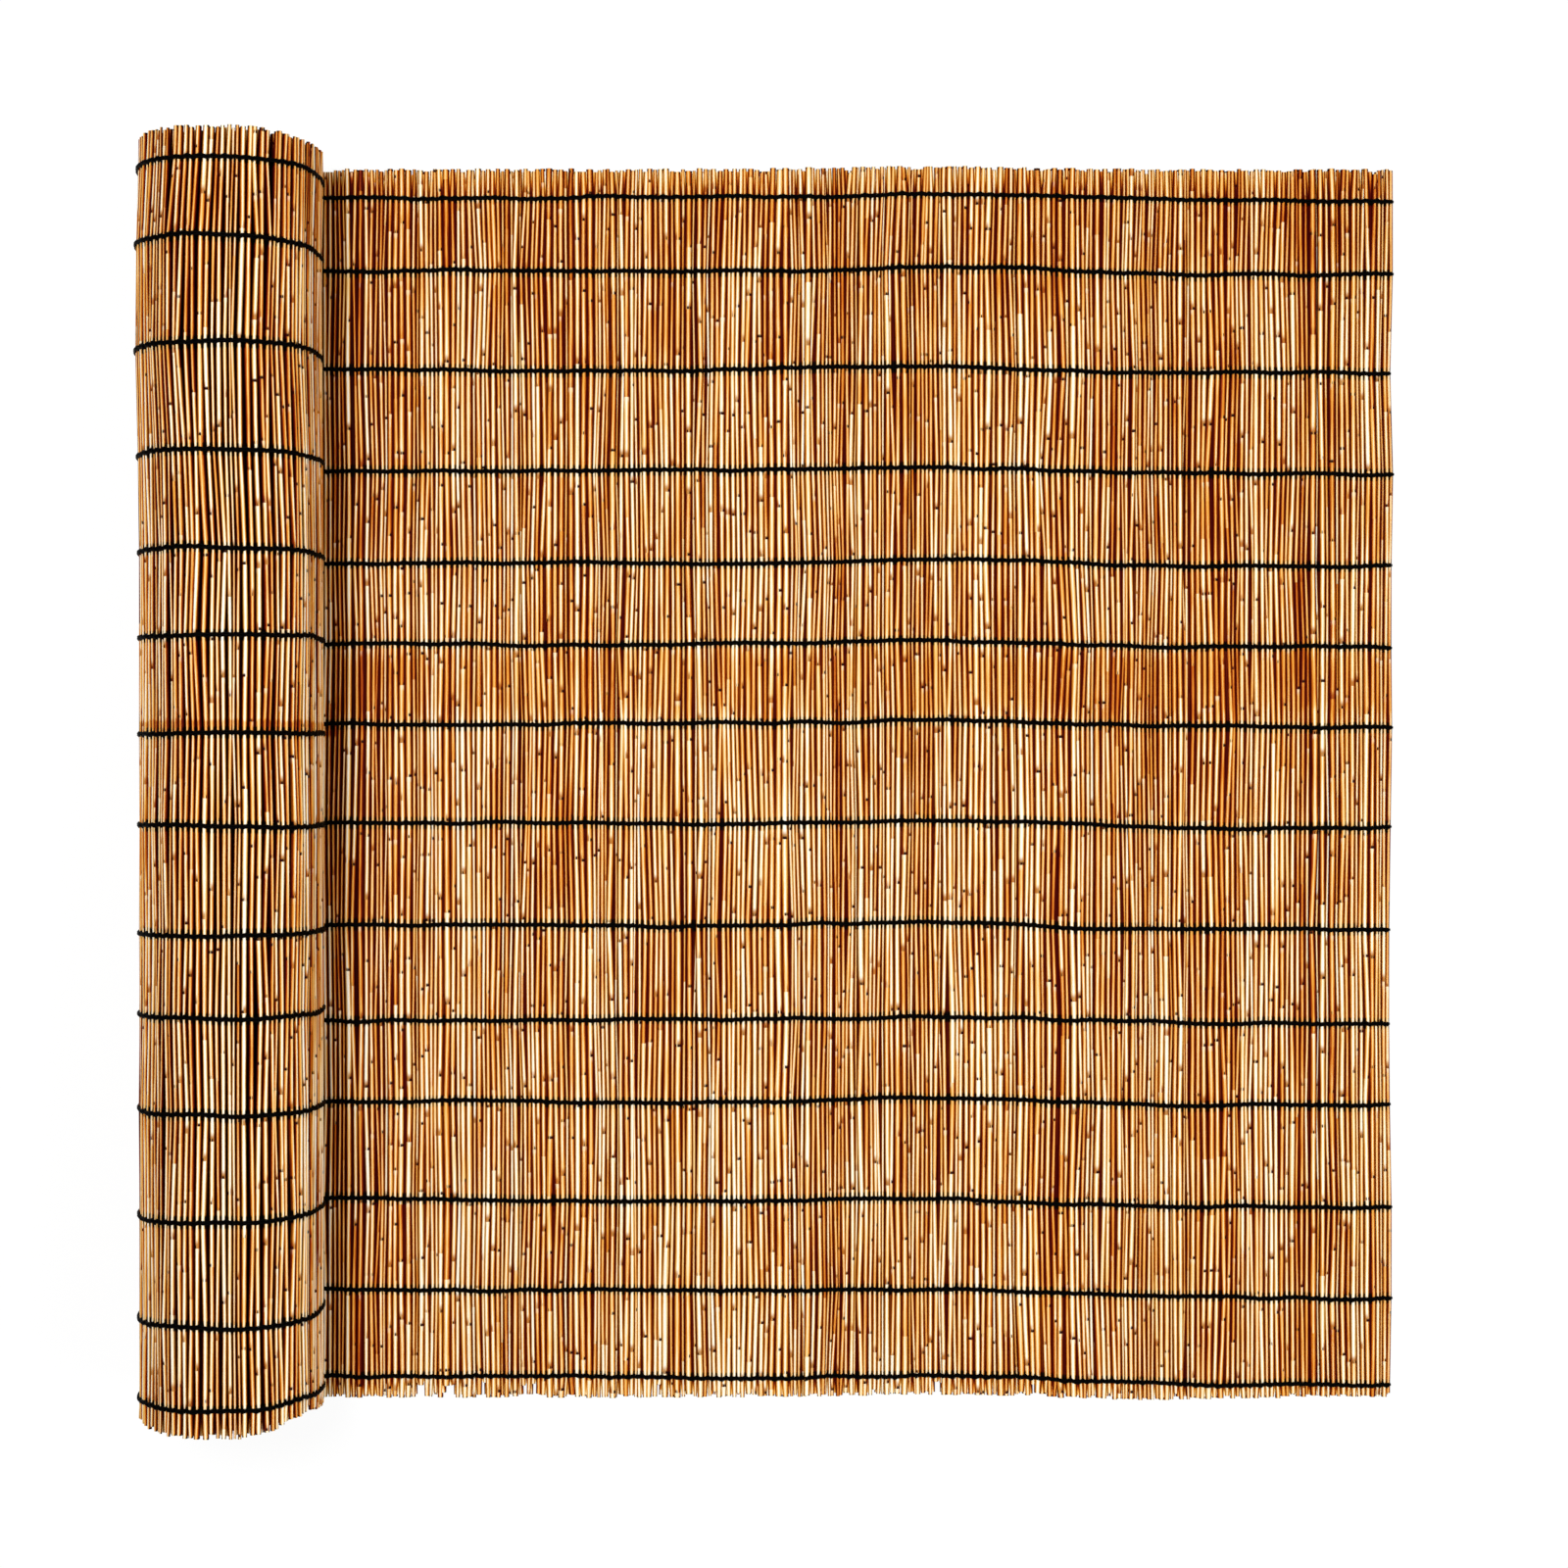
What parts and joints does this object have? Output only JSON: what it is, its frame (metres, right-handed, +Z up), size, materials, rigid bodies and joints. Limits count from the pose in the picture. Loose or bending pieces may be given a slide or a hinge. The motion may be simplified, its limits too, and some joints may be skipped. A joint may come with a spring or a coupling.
{
  "type": "reed screening roll",
  "caption": "Reed fence screening, part unrolled: a flat mat of dry reeds bound side by side with rows of wire, and the roll that it comes off.",
  "frame": {"origin": "on the floor, at the middle of the space that the whole screen takes up", "axes": "+Z up, reeds along Y with their upper ends towards +Y, mat unrolls towards +X and the roll lies at -X"},
  "size_m": [1.5068, 1.5, 0.22],
  "materials": {
    "reed": "dry straw-coloured reed, slightly glossy on the crowns",
    "binding": "thin black coated wire"
  },
  "bodies": {
    "root": {"flat_reeds": "reed", "rolled_reeds": "reed", "front_wire_01": "binding", "front_wire_02": "binding", "front_wire_03": "binding", "front_wire_04": "binding", "front_wire_05": "binding", "front_wire_06": "binding", "front_wire_07": "binding", "front_wire_08": "binding", "front_wire_09": "binding", "front_wire_10": "binding", "front_wire_11": "binding", "front_wire_12": "binding", "front_wire_13": "binding", "front_wire_14": "binding", "back_wire_01": "binding", "back_wire_02": "binding", "back_wire_03": "binding", "back_wire_04": "binding", "back_wire_05": "binding", "back_wire_06": "binding", "back_wire_07": "binding", "back_wire_08": "binding", "back_wire_09": "binding", "back_wire_10": "binding", "back_wire_11": "binding", "back_wire_12": "binding", "back_wire_13": "binding", "back_wire_14": "binding", "roll_wire_01": "binding", "roll_wire_02": "binding", "roll_wire_03": "binding", "roll_wire_04": "binding", "roll_wire_05": "binding", "roll_wire_06": "binding", "roll_wire_07": "binding", "roll_wire_08": "binding", "roll_wire_09": "binding", "roll_wire_10": "binding", "roll_wire_11": "binding", "roll_wire_12": "binding", "roll_wire_13": "binding", "roll_wire_14": "binding"}
  },
  "joints": []
}
